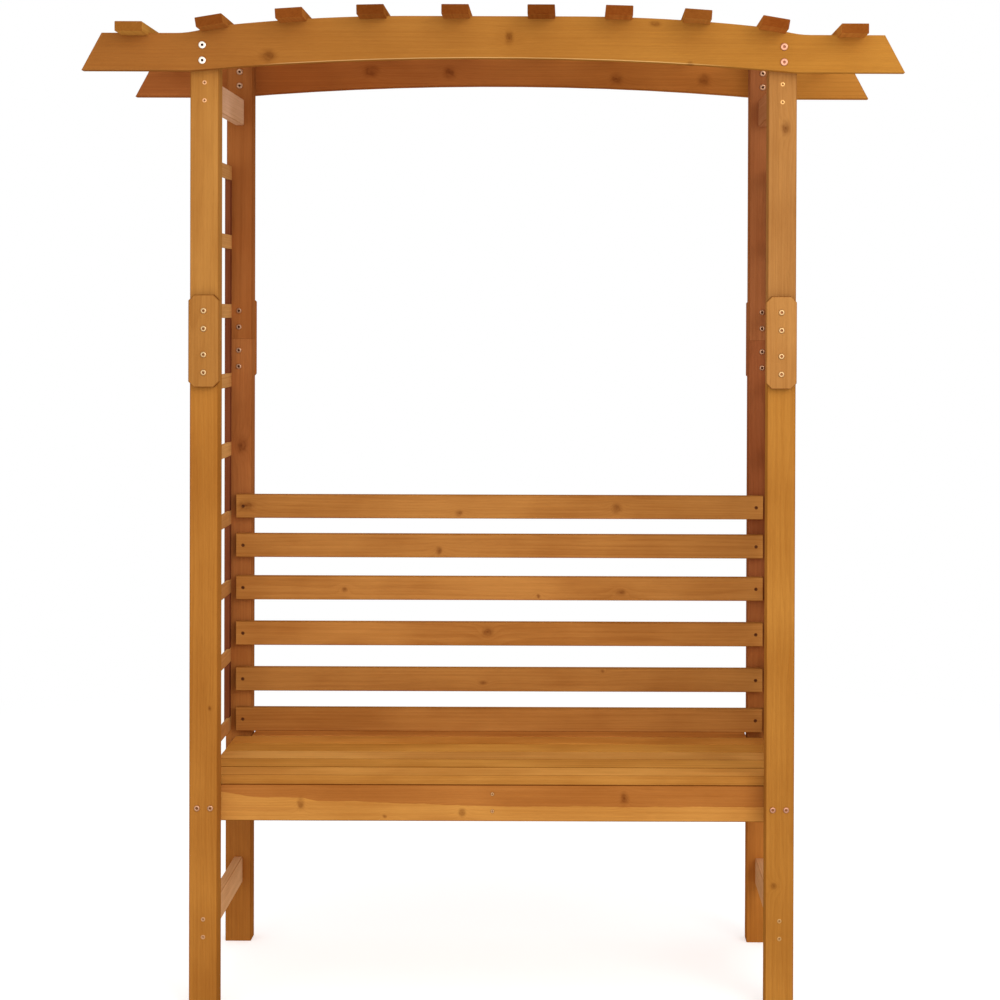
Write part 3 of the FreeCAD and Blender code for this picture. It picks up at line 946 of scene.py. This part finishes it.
plain_screw = (dark_steel, socket_shade)
add_piece("splice_bolt_set", splice_bolts, (plate_zinc, socket_shade), "bolt", "splice_bolts")
add_piece("beam_bolt_set", beam_bolts, (beam_zinc, beam_socket_shade_and_reflection), "bolt", "beam_bolts")
add_piece("seat_bolt_set", seat_bolts, (seat_zinc, socket_shade), "bolt", "seat_bolts")
add_piece("frame_screw_set", frame_screws, (yellow_zinc, socket_shade), "screw", "frame_screws")
add_piece("back_slat_screw_set", back_slat_screws, plain_screw, "screw", "back_slat_screws")
add_piece("seat_slat_screw_set", seat_slat_screws, plain_screw, "screw")
add_piece("roof_slat_screw_set", roof_slat_screws, plain_screw, "screw")
add_piece("stile_screw_set", stile_screws, plain_screw, "screw")
add_piece("lath_pin_set", lath_pins, (yellow_zinc, socket_shade), "screw")


# Studio

white = (1.0, 1.0, 1.0, 1.0)
ambient_light = 0.68
floor_half = 14.0
floor_grey = (0.86, 0.86, 0.86, 1.0)
floor_glow = 0.49           # seen by the camera only
shadow_reach = 0.9          # from the middle of the floor, before it fades into the background
fade_width = 2.5


def make_world():
    """Even white light. Camera, glossy and transmission rays see a white background."""
    world = bpy.data.worlds.new("Studio")
    bpy.context.scene.world = world
    world.use_nodes = True
    g = Graph(world.node_tree)
    background = world.node_tree.nodes["Background"]
    rays = g.add("ShaderNodeLightPath").outputs
    seen = g.math("MAXIMUM", rays["Is Camera Ray"], rays["Is Glossy Ray"])
    seen = g.math("MAXIMUM", seen, rays["Is Transmission Ray"])
    background.inputs["Color"].default_value = white
    g.feed(background.inputs["Strength"], g.map_range(seen, 0.0, 1.0, ambient_light, 1.0, smooth=False))


def make_floor():
    """White floor that keeps the object's shadow."""
    mesh = bpy.data.meshes.new("floor")
    bm = bmesh.new()
    bmesh.ops.create_grid(bm, x_segments=1, y_segments=1, size=floor_half)
    bm.to_mesh(mesh)
    bm.free()
    floor = bpy.data.objects.new("floor", mesh)
    bpy.context.scene.collection.objects.link(floor)
    material = bpy.data.materials.new("floor_white")
    material.use_nodes = True
    shader = material.node_tree.nodes["Principled BSDF"]
    shader.inputs["Base Color"].default_value = floor_grey
    shader.inputs["Roughness"].default_value = 0.9
    shader.inputs["Specular IOR Level"].default_value = 0.1
    shader.inputs["Emission Color"].default_value = white
    g = Graph(material.node_tree)
    seen = g.add("ShaderNodeLightPath").outputs["Is Camera Ray"]
    g.feed(shader.inputs["Emission Strength"], g.math("MULTIPLY", seen, floor_glow))
    backdrop = g.add("ShaderNodeEmission")
    distance = g.vector_math("LENGTH", g.add("ShaderNodeTexCoord").outputs["Object"])
    far = g.map_range(distance, shadow_reach, shadow_reach + fade_width)
    blend = g.add("ShaderNodeMixShader")
    g.feed(blend.inputs[0], g.math("MULTIPLY", far, seen))
    g.feed(blend.inputs[1], shader.outputs[0])
    g.feed(blend.inputs[2], backdrop.outputs[0])
    g.feed(material.node_tree.nodes["Material Output"].inputs["Surface"], blend.outputs[0])
    mesh.materials.append(material)


def area_light(name, place, target, size, power):
    """Round soft light at a place, turned to the target."""
    light = bpy.data.lights.new(name, "AREA")
    light.shape = "DISK"
    light.size = size
    light.energy = power
    lamp = bpy.data.objects.new(name, light)
    lamp.location = place
    lamp.rotation_mode = "QUATERNION"
    lamp.rotation_quaternion = (Vector(target) - Vector(place)).to_track_quat("-Z", "Y")
    bpy.context.scene.collection.objects.link(lamp)


make_world()
make_floor()
area_light("top", (0.4, -4.2, 3.6), (0.0, -0.1, 0.6), 5.0, 35.0)
area_light("front", (0.2, -5.4, 1.3), (0.0, 0.0, 1.1), 3.4, 52.0)
area_light("key", (3.0, -4.6, 3.2), (0.0, 0.0, 1.0), 3.0, 80.0)
area_light("fill", (-3.4, -4.6, 1.6), (0.0, 0.0, 1.0), 2.6, 14.0)


# Camera

camera_place = (0.1500, -4.2977, 1.3294)
camera_pitch = 0.5          # degrees below the horizon
camera_roll = 0.188         # degrees, which lowers the right side of the picture
camera_lens = 76.914
camera_shift = (-0.07184, -0.17042)


def make_camera():
    """Camera before the seat and a little to its right. It looks nearly level, so posts stay upright."""
    data = bpy.data.cameras.new("camera")
    data.sensor_width = 36.0
    data.lens = camera_lens
    data.shift_x, data.shift_y = camera_shift
    data.clip_end = 60.0
    camera = bpy.data.objects.new("camera", data)
    camera.location = camera_place
    level = Matrix.Rotation(math.radians(90.0 - camera_pitch), 3, "X")
    camera.rotation_euler = (level @ Matrix.Rotation(math.radians(camera_roll), 3, "Z")).to_euler()
    bpy.context.scene.collection.objects.link(camera)
    bpy.context.scene.camera = camera


make_camera()
bpy.context.scene.view_settings.view_transform = "Standard"

bpy.context.view_layer.update()
